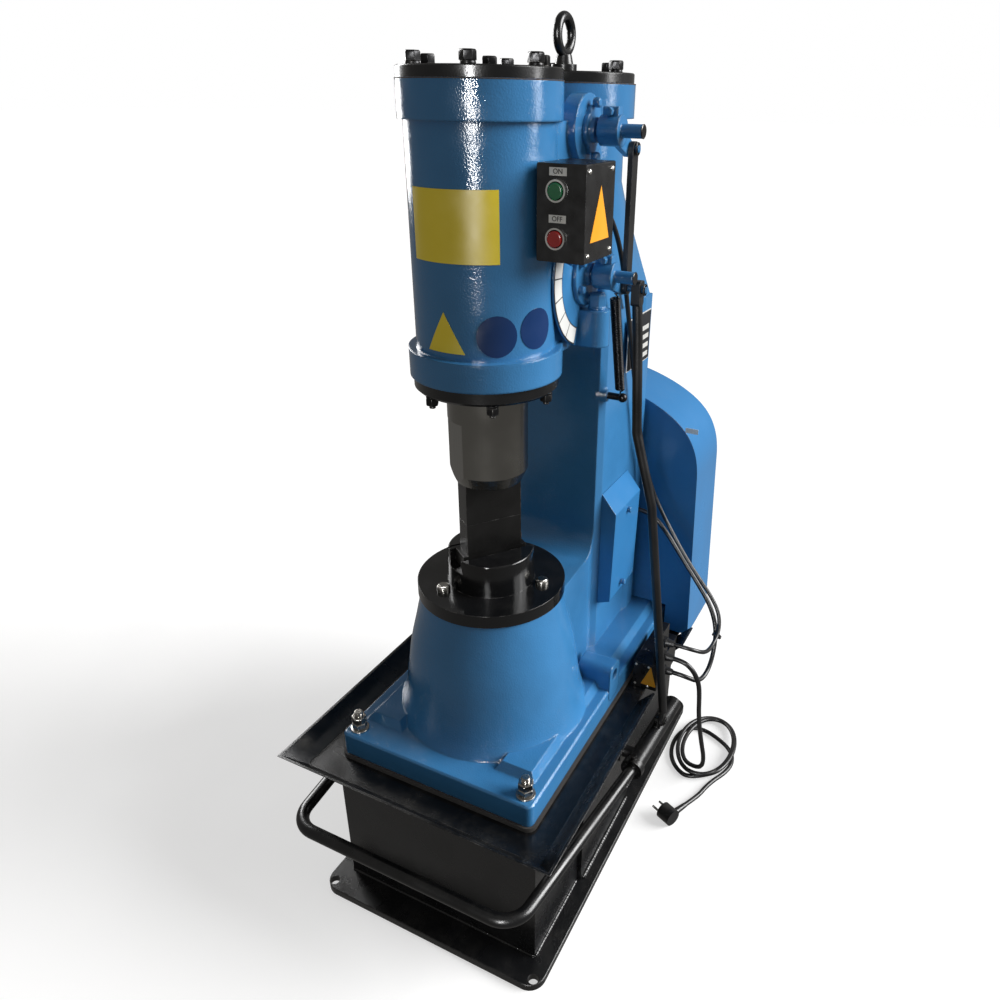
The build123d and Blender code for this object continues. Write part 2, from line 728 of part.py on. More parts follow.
# Mains cord: a lead down to the floor, a loose coil, and a tail that ends in the plug
cord([(gland_end_x, mains_gland[0], mains_gland[1]), (285, mains_gland[0], mains_gland[1]), (300, 85, 373),
      (312, 88, 357), (321, 94, 331), (322, 107, 288), (320, 126, 236), (321, 146, 180), (325, 167, 124),
      (332, 184, 74), (336, 192, coil_height - 1)],
     mains_d, "mains_lead")

with BuildPart() as mains_coil:
    with BuildSketch(Plane.XY.offset(floor_gap)):
        with Locations(coil_centre):
            Ellipse(coil_radius_x, coil_radius_y)
    extrude(amount=coil_height)
save(mains_coil.part, "mains_coil")

# The plug stands at an angle on the floor, its cable side towards the coil
plug_foot = Vector(300, 46, 8)
cable_way = Vector(math.sin(math.radians(25)), math.cos(math.radians(25)), 0)
pin_way = Vector(-cable_way.Y, cable_way.X, 0)
relief_end = plug_foot + cable_way * 54
cord([tuple(relief_end), tuple(relief_end + cable_way * 20), (341, 139, 5.8), (346, 161, 5.2), (346, 181, 5.2)],
     mains_d, "mains_tail")

# Plug: round body on its side, two pins, and a tapered strain relief towards the coil
plug_centre = plug_foot + Vector(0, 0, 9.8)
with BuildPart() as mains_plug:
    with BuildSketch(Plane(origin=plug_centre - pin_way * 15, x_dir=cable_way, z_dir=pin_way)):
        Circle(17.5)
    extrude(amount=30)
    with BuildSketch(Plane(origin=plug_centre + pin_way * 15, x_dir=cable_way, z_dir=pin_way)):
        with Locations((9.5, 0), (-9.5, 0)):
            Circle(2.4)
    extrude(amount=19)
    with BuildSketch(Plane(origin=plug_foot + cable_way * 12, z_dir=cable_way)):
        Circle(7.6)
    extrude(amount=42, taper=3.5)
save(mains_plug.part, "mains_plug")
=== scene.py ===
import math

import bmesh
import bpy
from mathutils import Matrix, Vector


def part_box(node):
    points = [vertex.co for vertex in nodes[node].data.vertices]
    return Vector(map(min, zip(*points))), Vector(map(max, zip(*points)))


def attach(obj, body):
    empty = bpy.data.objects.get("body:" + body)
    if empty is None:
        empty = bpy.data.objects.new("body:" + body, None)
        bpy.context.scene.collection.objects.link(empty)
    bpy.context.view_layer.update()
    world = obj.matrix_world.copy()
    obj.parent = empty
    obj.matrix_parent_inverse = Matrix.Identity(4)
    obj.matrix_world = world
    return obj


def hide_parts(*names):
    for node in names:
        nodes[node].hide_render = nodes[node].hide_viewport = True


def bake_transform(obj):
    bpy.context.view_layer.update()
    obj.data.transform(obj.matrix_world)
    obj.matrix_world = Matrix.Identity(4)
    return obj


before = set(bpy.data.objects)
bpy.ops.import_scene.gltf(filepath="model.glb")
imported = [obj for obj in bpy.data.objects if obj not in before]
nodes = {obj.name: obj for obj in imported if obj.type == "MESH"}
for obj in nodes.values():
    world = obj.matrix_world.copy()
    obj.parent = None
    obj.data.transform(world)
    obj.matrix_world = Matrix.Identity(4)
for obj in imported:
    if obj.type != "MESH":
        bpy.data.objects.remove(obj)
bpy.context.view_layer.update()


# Camera
# The view is from off the front corner on the lever side, at head height, and looks
# down at the hammer. A small shift of the lens does the rest of the framing.
yaw = math.radians(25.826)
pitch = math.radians(26.521)
roll = math.radians(0.957)
view_way = Vector((-math.sin(yaw) * math.cos(pitch), math.cos(yaw) * math.cos(pitch),
                   -math.sin(pitch)))
level_right = Vector((math.cos(yaw), math.sin(yaw), 0))
level_up = level_right.cross(view_way)
right_way = math.cos(roll) * level_right + math.sin(roll) * level_up
up_way = math.cos(roll) * level_up - math.sin(roll) * level_right
camera_data = bpy.data.cameras.new("camera")
camera_data.sensor_width = 36
camera_data.lens = 28.77
camera_data.shift_x = -0.0547
camera_data.shift_y = -0.0035
camera = bpy.data.objects.new("camera", camera_data)
camera_turn = Matrix((right_way, up_way, -view_way)).transposed().to_4x4()
camera.matrix_world = Matrix.Translation((0.5975, -1.1319, 1.3420)) @ camera_turn
bpy.context.collection.objects.link(camera)
bpy.context.scene.camera = camera


# Cables of the push buttons and the motor
# Black rubber-sheathed cable. Both leave the switch box, hang in a loop behind the
# operating rod, and go back in: one at the button station, one through the column's side.
def effect_group(name, inputs, outputs):
    """Makes an empty node group with named number sockets, and its two end nodes."""
    group = bpy.data.node_groups.new(name, "ShaderNodeTree")
    for label in inputs:
        group.interface.new_socket(label, in_out="INPUT", socket_type="NodeSocketFloat")
    for label in outputs:
        group.interface.new_socket(label, in_out="OUTPUT", socket_type="NodeSocketFloat")
    return group, group.nodes.new("NodeGroupInput"), group.nodes.new("NodeGroupOutput")


def grain_effect():
    """Node group: small bumps and slow changes of tone, as in paint, castings and moulded parts."""
    group, entry, leave = effect_group("surface grain", ("Fine Scale", "Broad Scale"),
                                       ("Height", "Tone"))
    place = group.nodes.new("ShaderNodeTexCoord")
    fine = group.nodes.new("ShaderNodeTexNoise")
    fine.inputs["Detail"].default_value = 1.5
    broad = group.nodes.new("ShaderNodeTexNoise")
    broad.inputs["Detail"].default_value = 5
    both = group.nodes.new("ShaderNodeMath")
    both.operation = "MULTIPLY_ADD"
    both.inputs[1].default_value = 0.35
    group.links.new(place.outputs["Object"], fine.inputs["Vector"])
    group.links.new(place.outputs["Object"], broad.inputs["Vector"])
    group.links.new(entry.outputs["Fine Scale"], fine.inputs["Scale"])
    group.links.new(entry.outputs["Broad Scale"], broad.inputs["Scale"])
    group.links.new(fine.outputs["Fac"], both.inputs[0])
    group.links.new(broad.outputs["Fac"], both.inputs[2])
    group.links.new(both.outputs[0], leave.inputs["Height"])
    group.links.new(broad.outputs["Fac"], leave.inputs["Tone"])
    return group


def break_up(group, entry, leave, mask, scale, detail, roughness, low, high):
    """Breaks a mask up into patches, scales it by the group's amount and puts it out."""
    place = group.nodes.new("ShaderNodeTexCoord")
    patches = group.nodes.new("ShaderNodeTexNoise")
    patches.inputs["Scale"].default_value = scale
    patches.inputs["Detail"].default_value = detail
    patches.inputs["Roughness"].default_value = roughness
    broken = group.nodes.new("ShaderNodeMapRange")
    broken.inputs["From Min"].default_value = low
    broken.inputs["From Max"].default_value = high
    product = group.nodes.new("ShaderNodeMath")
    product.operation = "MULTIPLY"
    scaled = group.nodes.new("ShaderNodeMath")
    scaled.operation = "MULTIPLY"
    group.links.new(place.outputs["Object"], patches.inputs["Vector"])
    group.links.new(patches.outputs["Fac"], broken.inputs["Value"])
    group.links.new(mask, product.inputs[0])
    group.links.new(broken.outputs["Result"], product.inputs[1])
    group.links.new(product.outputs[0], scaled.inputs[0])
    group.links.new(entry.outputs["Amount"], scaled.inputs[1])
    group.links.new(scaled.outputs[0], leave.inputs["Mask"])


def wear_effect():
    """Node group: a mask along outside edges, broken up so that it is not an even line."""
    group, entry, leave = effect_group("edge wear", ("Amount",), ("Mask",))
    shape = group.nodes.new("ShaderNodeNewGeometry")
    rounded = group.nodes.new("ShaderNodeBevel")
    rounded.samples = 4
    rounded.inputs["Radius"].default_value = 0.0022
    likeness = group.nodes.new("ShaderNodeVectorMath")
    likeness.operation = "DOT_PRODUCT"
    edges = group.nodes.new("ShaderNodeMapRange")
    edges.inputs["From Min"].default_value = 0.995
    edges.inputs["From Max"].default_value = 0.9
    group.links.new(shape.outputs["Normal"], likeness.inputs[0])
    group.links.new(rounded.outputs["Normal"], likeness.inputs[1])
    group.links.new(likeness.outputs["Value"], edges.inputs["Value"])
    break_up(group, entry, leave, edges.outputs["Result"], scale=60, detail=7, roughness=0.5,
             low=0.48, high=0.6)
    return group


def dust_effect():
    """Node group: a mask of dust that settles on what faces up, in patches."""
    group, entry, leave = effect_group("settled dust", ("Amount",), ("Mask",))
    shape = group.nodes.new("ShaderNodeNewGeometry")
    parts = group.nodes.new("ShaderNodeSeparateXYZ")
    upward = group.nodes.new("ShaderNodeMapRange")
    upward.inputs["From Min"].default_value = 0.35
    upward.inputs["From Max"].default_value = 0.95
    group.links.new(shape.outputs["Normal"], parts.inputs[0])
    group.links.new(parts.outputs["Z"], upward.inputs["Value"])
    break_up(group, entry, leave, upward.outputs["Result"], scale=26, detail=12, roughness=0.7,
             low=0.46, high=0.72)
    return group


surface_grain = grain_effect()
edge_wear = wear_effect()
settled_dust = dust_effect()


def finish(name, colour, roughness, metallic=0.0, coat=0.0, fine=700, broad=30, bump=0.1,
           mottle=0.12, wear=0.0, bare=(0.3, 0.3, 0.3), dust=0.0, rounding=0.0):
    """Makes a finish with grain, changing tone and gloss, worn edges and settled dust."""
    material = bpy.data.materials.new(name)
    material.use_nodes = True
    tree = material.node_tree
    shader = tree.nodes["Principled BSDF"]
    shader.inputs["Metallic"].default_value = metallic
    shader.inputs["Coat Weight"].default_value = coat
    shader.inputs["Coat Roughness"].default_value = 0.12
    grain = tree.nodes.new("ShaderNodeGroup")
    grain.node_tree = surface_grain
    grain.inputs["Fine Scale"].default_value = fine
    grain.inputs["Broad Scale"].default_value = broad
    # A mix node's colours go in at sockets 6 and 7 and come out at 2.
    tone = tree.nodes.new("ShaderNodeMix")
    tone.data_type = "RGBA"
    tone.inputs[6].default_value = (*(c * (1 - mottle) for c in colour), 1)
    tone.inputs[7].default_value = (*(min(c * (1 + mottle), 1) for c in colour), 1)
    tree.links.new(grain.outputs["Tone"], tone.inputs[0])
    shade = tone.outputs[2]
    dust_colour = (0.33, 0.31, 0.28)
    for effect, amount, tint in ((edge_wear, wear, bare), (settled_dust, dust, dust_colour)):
        if amount > 0:
            mask = tree.nodes.new("ShaderNodeGroup")
            mask.node_tree = effect
            mask.inputs["Amount"].default_value = amount
            over = tree.nodes.new("ShaderNodeMix")
            over.data_type = "RGBA"
            over.inputs[7].default_value = (*tint, 1)
            tree.links.new(mask.outputs["Mask"], over.inputs[0])
            tree.links.new(shade, over.inputs[6])
            shade = over.outputs[2]
    tree.links.new(shade, shader.inputs["Base Color"])
    gloss = tree.nodes.new("ShaderNodeMapRange")
    gloss.inputs["From Min"].default_value = 0.3
    gloss.inputs["From Max"].default_value = 0.7
    gloss.inputs["To Min"].default_value = max(roughness - 0.07, 0.03)
    gloss.inputs["To Max"].default_value = min(roughness + 0.09, 1)
    tree.links.new(grain.outputs["Tone"], gloss.inputs["Value"])
    tree.links.new(gloss.outputs["Result"], shader.inputs["Roughness"])
    relief = tree.nodes.new("ShaderNodeBump")
    relief.inputs["Strength"].default_value = bump
    relief.inputs["Distance"].default_value = 0.002
    tree.links.new(grain.outputs["Height"], relief.inputs["Height"])
    if rounding > 0:
        soft_edge = tree.nodes.new("ShaderNodeBevel")
        soft_edge.samples = 4
        soft_edge.inputs["Radius"].default_value = rounding
        tree.links.new(soft_edge.outputs["Normal"], relief.inputs["Normal"])
    tree.links.new(relief.outputs["Normal"], shader.inputs["Normal"])
    return material


def lay_cable(name, route, diameter, material):
    """Draws a cable as one smooth curve along its route."""
    line = bpy.data.curves.new(name, "CURVE")
    line.dimensions = "3D"
    line.bevel_depth = diameter / 2
    line.bevel_resolution = 3
    line.resolution_u = 6
    line.use_fill_caps = True
    spline = line.splines.new("NURBS")
    spline.points.add(len(route) - 1)
    for point, place in zip(spline.points, route):
        point.co = (*place, 1)
    spline.order_u = 3
    spline.use_endpoint_u = True
    line.materials.append(material)
    cable = bpy.data.objects.new(name, line)
    bpy.context.collection.objects.link(cable)
    return cable


cable_rubber = finish("cable_rubber", (0.009, 0.009, 0.01), 0.34, fine=900, bump=0.08, dust=0.08)

control_route = (
    (0.268, 0.080, 0.416), (0.289, 0.080, 0.416), (0.308, 0.088, 0.410), (0.319, 0.105, 0.398),
    (0.323, 0.131, 0.386), (0.325, 0.161, 0.384), (0.327, 0.189, 0.399), (0.319, 0.204, 0.428),
    (0.298, 0.210, 0.458), (0.268, 0.214, 0.490), (0.232, 0.220, 0.530), (0.196, 0.229, 0.576),
    (0.163, 0.233, 0.626), (0.139, 0.227, 0.690), (0.129, 0.205, 0.770), (0.126, 0.178, 0.850),
    (0.125, 0.149, 0.930), (0.124, 0.121, 1.010), (0.122, 0.098, 1.080), (0.118, 0.076, 1.140),
    (0.115, 0.042, 1.184), (0.119, -0.004, 1.206), (0.130, -0.038, 1.212), (0.134, -0.064, 1.212),
    (0.134, -0.087, 1.212))
control_cable = lay_cable("control_cable_line", control_route, 0.008, cable_rubber)
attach(control_cable, "frame")
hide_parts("control_cable")

motor_route = (
    (0.268, 0.088, 0.344), (0.286, 0.088, 0.344), (0.302, 0.094, 0.337), (0.312, 0.107, 0.326),
    (0.319, 0.130, 0.318), (0.323, 0.158, 0.326), (0.323, 0.182, 0.352), (0.318, 0.202, 0.392),
    (0.298, 0.212, 0.436), (0.262, 0.220, 0.478), (0.222, 0.227, 0.524), (0.186, 0.232, 0.568),
    (0.150, 0.235, 0.600), (0.118, 0.235, 0.600))
motor_cable = lay_cable("motor_cable_line", motor_route, 0.009, cable_rubber)
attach(motor_cable, "frame")
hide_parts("motor_cable")


# Mains cord and plug
# One black rubber cord: down from the middle gland, round in loose loops on the floor,
# and out under them to a moulded plug with two plated pins.
lead_route = (
    (0.268, 0.084, 0.380), (0.285, 0.084, 0.380), (0.300, 0.085, 0.373), (0.312, 0.088, 0.357),
    (0.321, 0.094, 0.331), (0.322, 0.107, 0.288), (0.320, 0.126, 0.236), (0.321, 0.146, 0.180),
    (0.325, 0.164, 0.124), (0.331, 0.176, 0.078), (0.330, 0.183, 0.046), (0.320, 0.186, 0.030))
under_route = (
    (0.303, 0.173, 0.0053), (0.276, 0.184, 0.0053), (0.254, 0.208, 0.0053), (0.242, 0.240, 0.0053),
    (0.240, 0.276, 0.0053), (0.247, 0.308, 0.0053), (0.268, 0.331, 0.0053), (0.298, 0.333, 0.0053),
    (0.330, 0.320, 0.0053), (0.358, 0.303, 0.0053), (0.3755, 0.280, 0.0053), (0.3793, 0.250, 0.0053),
    (0.371, 0.219, 0.0053), (0.356, 0.190, 0.0053))
tail_route = (
    (0.346, 0.162, 0.0053), (0.341, 0.139, 0.0058), (0.3313, 0.1131, 0.008), (0.3228, 0.0949, 0.008))
loop_centre = Vector((0.311, 0.281, 0))
loop_half_width = 0.052
loop_half_length = 0.0935
loop_growth = 0.0068
first_loop_shift = 0.004
points_per_turn = 16
floor_rest = 0.0053
stacked = 0.0148
top_layer = 0.0242
loop_route = []
for step in range(1, 2 * points_per_turn - 1):
    turn_share = step / points_per_turn
    angle = math.radians(-94 - 360 * turn_share)
    radius_x = loop_half_width + loop_growth * turn_share
    radius_y = loop_half_length + loop_growth * turn_share
    far = max(math.sin(angle), 0) ** 2
    if turn_share < 1:
        sideways = first_loop_shift
        beside = max(math.cos(angle - math.radians(180)), 0) ** 2
        height = max(stacked - 0.6 * (stacked - floor_rest) * max(far, beside), floor_rest)
        height += (top_layer - stacked) * max(1 - 3 * turn_share, 0)
    else:
        sideways = 0.0
        height = stacked - (stacked - floor_rest) * far
    loop_route.append((loop_centre.x + sideways + radius_x * math.cos(angle),
                       loop_centre.y + radius_y * math.sin(angle), height))
mains_route = lead_route + tuple(loop_route) + under_route + tail_route
mains_cord = lay_cable("mains_cord_line", mains_route, 0.0095, cable_rubber)
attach(mains_cord, "frame")
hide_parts("mains_lead", "mains_coil", "mains_tail")


def dress(node, *materials):
    """Gives a carried-over CAD node its finish."""
    nodes[node].data.materials.clear()
    for material in materials:
        nodes[node].data.materials.append(material)


plug_plastic = finish("plug_plastic", (0.01, 0.01, 0.011), 0.32, fine=500, bump=0.06, dust=0.08)
pin_plate = finish("pin_plate", (0.72, 0.71, 0.68), 0.22, metallic=1, fine=400, bump=0.03)
dress("mains_plug", plug_plastic, pin_plate)
plug_middle = Vector((0.300, 0.046, 0.0178))
plug_turn = math.radians(25)
pin_way = Vector((-math.cos(plug_turn), math.sin(plug_turn), 0))
plug_face = 0.0155
for face in nodes["mains_plug"].data.polygons:
    if (face.center - plug_middle).dot(pin_way) > plug_face:
        face.material_index = 1


# Stand
# A bottom plate, a welded box and two bearing plates for the treadle shaft, all mild
# steel in black gloss paint. The weld beads show where the box meets the plate.
def black_paint(name, gloss=0.26, wear=0.3, dust=0.04):
    """Black machine enamel over steel."""
    return finish(name, (0.0045, 0.0048, 0.0055), gloss, fine=380, broad=16, bump=0.16, mottle=0.35,
                  wear=wear, bare=(0.12, 0.115, 0.11), dust=dust, rounding=0.0012)


stand_paint = black_paint("stand_paint")
for node in ("bottom_plate", "pedestal", "pivot_plates"):
    dress(node, stand_paint)


def join_rings(mesh, rings):
    """Joins rings of points, each to the next, with four-sided faces."""
    for here, there in zip(rings, rings[1:]):
        for k in range(len(here)):
            after = (k + 1) % len(here)
            mesh.faces.new((here[k], here[after], there[after], there[k]))


def join_and_cap(mesh, rings):
    """Joins rings of points and closes both ends."""
    join_rings(mesh, rings)
    mesh.faces.new(tuple(reversed(rings[0])))
    mesh.faces.new(tuple(rings[-1]))


def turned(mesh, outline, place, axis, sides=32, spin=0.0):
    """Adds a turned or many-sided solid: the outline gives radius and height along the axis."""
    turn = Vector(axis).to_track_quat("Z", "Y").to_matrix()
    rings = []
    for radius, height in outline:
        ring = []
        for corner in range(sides):
            angle = spin + 2 * math.pi * corner / sides
            point = Vector((radius * math.cos(angle), radius * math.sin(angle), height))
            ring.append(mesh.verts.new(Vector(place) + turn @ point))
        rings.append(ring)
    join_and_cap(mesh, rings)


def piece(name, mesh, material, body, sharp=35, soften=0.0):
    """Turns a built mesh into a piece of the object that rides on a body."""
    bmesh.ops.recalc_face_normals(mesh, faces=mesh.faces)
    data = bpy.data.meshes.new(name)
    mesh.to_mesh(data)
    mesh.free()
    data.materials.append(material)
    data.shade_smooth()
    data.set_sharp_from_angle(angle=math.radians(sharp))
    made = bpy.data.objects.new(name, data)
    bpy.context.collection.objects.link(made)
    if soften > 0:
        edge = made.modifiers.new("soft edges", "BEVEL")
        edge.width = soften
        edge.segments = 2
        edge.limit_method = "ANGLE"
        edge.angle_limit = math.radians(30)
    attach(made, body)
    return made


def bead(mesh, start, end, radius):
    """Adds a rippled weld bead between two points."""
    way = Vector(end) - Vector(start)
    ripples = max(int(way.length / 0.006), 3)
    outline = [(radius * 0.5, 0)]
    for step in range(1, 3 * ripples):
        swell = 0.82 + 0.18 * abs(math.sin(math.pi * step / 3)) + 0.06 * math.sin(step * 1.7)
        outline.append((radius * swell, way.length * step / (3 * ripples)))
    outline.append((radius * 0.5, way.length))
    turned(mesh, outline, start, way, sides=8)


plate_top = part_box("bottom_plate")[1].z
stand_low, stand_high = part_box("pedestal")
seam = 0.004
heavy_seam = 0.0062
before_bearing = -0.18
behind_bearing = 0.062
bearing_seam_x = stand_high.x + 0.0085
welds = bmesh.new()
for start, end, size in (
        ((stand_low.x, stand_low.y), (stand_high.x, stand_low.y), seam),
        ((stand_low.x, stand_high.y), (stand_high.x, stand_high.y), seam),
        ((stand_low.x, stand_low.y), (stand_low.x, before_bearing), seam),
        ((stand_low.x, behind_bearing), (stand_low.x, stand_high.y), seam),
        ((stand_high.x, stand_low.y), (stand_high.x, before_bearing), seam),
        ((stand_high.x, behind_bearing), (stand_high.x, stand_high.y), seam),
        ((bearing_seam_x, -0.17), (bearing_seam_x, 0.052), heavy_seam),
        ((-bearing_seam_x, -0.17), (-bearing_seam_x, 0.052), heavy_seam)):
    bead(welds, (*start, plate_top), (*end, plate_top), size)
weld_paint = black_paint("weld_paint", gloss=0.12, wear=1.0)
piece("stand_welds", welds, weld_paint, "frame", sharp=80)


# Tray and pad
# The tray is folded sheet steel with flared lips, black inside and out. The pad under
# the casting is a felted rubber sheet that damps the blows.
tray_paint = black_paint("tray_paint", gloss=0.22, wear=0.5, dust=0.07)
dress("tray", tray_paint)
pad_rubber = finish("pad_rubber", (0.035, 0.03, 0.026), 0.8, fine=900, bump=0.4, mottle=0.4)
dress("damping_pad", pad_rubber)


# Main casting and what is painted with it
# One iron casting in blue enamel over filler: the skin is slightly wavy, with a fine
# orange peel. Levers, valve covers and the bearing plate have the same paint.
blue = (0.042, 0.19, 0.41)
casting_paint = finish("casting_paint", blue, 0.13, fine=400, broad=20, bump=0.46, mottle=0.1,
                       wear=0.12, bare=(0.05, 0.07, 0.09), dust=0.03, rounding=0.004)
for node in ("frame_casting", "valve_covers", "upper_lever", "lower_lever", "bearing_plate",
             "passage_plug"):
    dress(node, casting_paint)


# Side cover and belt guard
# Pressed and folded sheet steel in the same blue enamel, smoother than the casting
# and without its orange peel.
sheet_paint = finish("sheet_paint", (0.036, 0.19, 0.43), 0.2, fine=300, broad=8, bump=0.09,
                     mottle=0.07, dust=0.03, rounding=0.0025)
dress("side_cover", sheet_paint)
dress("belt_guard", sheet_paint)


# Cylinder covers, gaskets and their bolts
# Turned steel covers in black, each on a dark brown gasket and held by six hexagon bolts
# with washers. The lifting eye takes the place of the rear cover's sixth bolt.
def hex_bolt(mesh, place, axis, across, spin=0.3, washer=True):
    """Adds a hexagon bolt head on its washer."""
    corner = across / math.sqrt(3)
    lift = 0.0
    if washer:
        lift = across * 0.2
        turned(mesh, ((across * 0.5, 0), (across * 0.53, lift * 0.3), (across * 0.5, lift)), place, axis)
    head = across * 0.64
    turned(mesh, ((corner * 0.97, lift), (corner, lift + head * 0.05), (corner, lift + head * 0.84),
                  (corner * 0.86, lift + head)), place, axis, sides=6, spin=spin)


cover_paint = black_paint("cover_paint", gloss=0.24, wear=0.3, dust=0.05)
for node in ("ram_cylinder_cover", "pump_cylinder_cover", "gland_ring", "lifting_eye"):
    dress(node, cover_paint)
black_bolt = finish("black_bolt", (0.02, 0.02, 0.021), 0.3, metallic=0.8, fine=800, bump=0.1,
                    mottle=0.3, wear=0.7, bare=(0.25, 0.24, 0.22), dust=0.03)
gasket_paper = finish("gasket_paper", (0.035, 0.022, 0.016), 0.85, fine=900, bump=0.4, mottle=0.25)

ram_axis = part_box("ram")[0].lerp(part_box("ram")[1], 0.5)
ram_cover_low, ram_cover_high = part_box("ram_cylinder_cover")
pump_cover_low, pump_cover_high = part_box("pump_cylinder_cover")
pump_axis = pump_cover_low.lerp(pump_cover_high, 0.5)
ram_bolt_circle = 0.088
pump_bolt_circle = 0.092
cover_bolt_across = 0.0187
cover_bolts = bmesh.new()
for axis_point, top, circle, first, count in (
        (ram_axis, ram_cover_high.z, ram_bolt_circle, -8, 6),
        (pump_axis, pump_cover_high.z, pump_bolt_circle, 0, 5)):
    for k in range(count):
        angle = math.radians(first + 60 * k)
        place = (axis_point.x + circle * math.cos(angle), axis_point.y + circle * math.sin(angle), top)
        hex_bolt(cover_bolts, place, (0, 0, 1), cover_bolt_across, spin=0.35 + 1.3 * k)
piece("cover_bolts", cover_bolts, black_bolt, "frame", soften=0.0005)

ram_gasket_radius = 0.1088
pump_gasket_radius = 0.1163
gaskets = bmesh.new()
for axis_point, low, radius in ((ram_axis, ram_cover_low.z, ram_gasket_radius),
                                (pump_axis, pump_cover_low.z, pump_gasket_radius)):
    rim = radius - 0.001
    turned(gaskets, ((rim, -0.0018), (radius, -0.0014), (radius, -0.0002), (rim, 0.0001)),
           (axis_point.x, axis_point.y, low), (0, 0, 1), sides=72)
piece("cover_gaskets", gaskets, gasket_paper, "frame")


# Studs below the gland ring
# Six threaded steel studs, blacked, with washers and nuts that pull the gland ring up
# against the front cylinder.
def thread(radius, pitch, low, high):
    """Outline of a threaded stud between two heights."""
    outline = []
    turns = int((high - low) / pitch)
    for k in range(turns):
        outline.append((radius * 0.9, low + k * pitch))
        outline.append((radius, low + (k + 0.5) * pitch))
    outline.append((radius * 0.8, high))
    return outline


gland_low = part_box("gland_ring")[0].z
gland_circle = 0.096
gland_studs = bmesh.new()
for k in range(6):
    angle = math.radians(5 + 60 * k)
    place = (ram_axis.x + gland_circle * math.cos(angle), ram_axis.y + gland_circle * math.sin(angle),
             gland_low)
    hex_bolt(gland_studs, place, (0, 0, -1), 0.017, spin=0.2 + k)
    turned(gland_studs, thread(0.005, 0.0015, 0.008, 0.019), place, (0, 0, -1), sides=16)
piece("gland_studs", gland_studs, black_bolt, "frame", soften=0.0004)


# Anvil cap and dies
# The cap is a turned iron hub on a flange with three bolts, oiled black. The die is a
# ground block of tool steel on a dovetail, wedged by a taper key.
cap_iron = black_paint("cap_iron", gloss=0.15, wear=0.6, dust=0.02)
dress("anvil_cap", cap_iron)
die_steel = finish("die_steel", (0.014, 0.0138, 0.0135), 0.3, metallic=0.5, fine=350, broad=18,
                   bump=0.14, mottle=0.4, wear=0.6, bare=(0.16, 0.155, 0.15), rounding=0.0015)
for node in ("lower_die", "die_key", "upper_die"):
    dress(node, die_steel)
worn_bolt = finish("worn_bolt", (0.3, 0.29, 0.27), 0.26, metallic=1, fine=600, bump=0.2, mottle=0.55,
                   wear=0.8, bare=(0.6, 0.58, 0.55))
cap_flange_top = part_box("anvil_cap")[0].z + 0.0218
cap_bolt_circle = 0.0895
cap_bolts = bmesh.new()
for degrees in (-121, 9.5, 124):
    angle = math.radians(degrees)
    place = (cap_bolt_circle * math.cos(angle), ram_axis.y + cap_bolt_circle * math.sin(angle),
             cap_flange_top)
    turned(cap_bolts, ((0.0112, 0), (0.0112, 0.006), (0.0102, 0.0085), (0.006, 0.0095)),
           place, (0, 0, 1))
    hex_bolt(cap_bolts, place, (0, 0, 1), 0.0165, spin=degrees, washer=False)
piece("cap_bolts", cap_bolts, worn_bolt, "frame", soften=0.0004)


# Ram
# A ground steel bar with a turned neck, oiled, with fine lines up and down from sliding
# in the gland.
def ram_finish():
    """Ground steel with sliding marks and a film of oil."""
    material = finish("ram_steel", (0.2, 0.195, 0.18), 0.2, metallic=1, fine=300, broad=9, bump=0.03,
                      mottle=0.12, wear=0.2, bare=(0.5, 0.48, 0.44), rounding=0.0015)
    tree = material.node_tree
    place = tree.nodes.new("ShaderNodeTexCoord")
    stretch = tree.nodes.new("ShaderNodeMapping")
    stretch.inputs["Scale"].default_value = (420, 420, 6)
    lines = tree.nodes.new("ShaderNodeTexNoise")
    lines.inputs["Scale"].default_value = 1
    lines.inputs["Detail"].default_value = 3
    tree.links.new(place.outputs["Object"], stretch.inputs["Vector"])
    tree.links.new(stretch.outputs["Vector"], lines.inputs["Vector"])
    peel = next(node for node in tree.nodes if node.bl_idname == "ShaderNodeBump")
    scratches = tree.nodes.new("ShaderNodeBump")
    scratches.inputs["Strength"].default_value = 0.3
    scratches.inputs["Distance"].default_value = 0.0008
    tree.links.new(lines.outputs["Fac"], scratches.inputs["Height"])
    tree.links.new(peel.outputs["Normal"], scratches.inputs["Normal"])
    tree.links.new(scratches.outputs["Normal"], tree.nodes["Principled BSDF"].inputs["Normal"])
    return material


dress("ram", ram_finish())


# Studs that hold the casting to the stand
# Each foot corner has a threaded stud of bare steel up from the tray, with a washer and
# two nuts that are rubbed bright.
foot_top = 0.357
stud_x = 0.163
stud_mid_y = -0.002
stud_half_y = 0.319
nut_corner = 0.0132
foot_studs = bmesh.new()
for side_x in (-stud_x, stud_x):
    for side_y in (stud_mid_y - stud_half_y, stud_mid_y + stud_half_y):
        place = (side_x, side_y, foot_top)
        turned(foot_studs, ((0.0155, 0), (0.016, 0.0008), (0.016, 0.0026), (0.0152, 0.003)),
               place, (0, 0, 1))
        for lift, spin in ((0.003, 0.2 + side_y), (0.0158, 0.7 + side_x)):
            turned(foot_studs, ((nut_corner * 0.88, lift), (nut_corner, lift + 0.0012),
                                (nut_corner, lift + 0.0108), (nut_corner * 0.88, lift + 0.012)),
                   place, (0, 0, 1), sides=6, spin=spin)
        turned(foot_studs, thread(0.0074, 0.0018, -0.01, 0.037), place, (0, 0, 1), sides=20)
piece("foot_studs", foot_studs, worn_bolt, "frame", soften=0.0004)


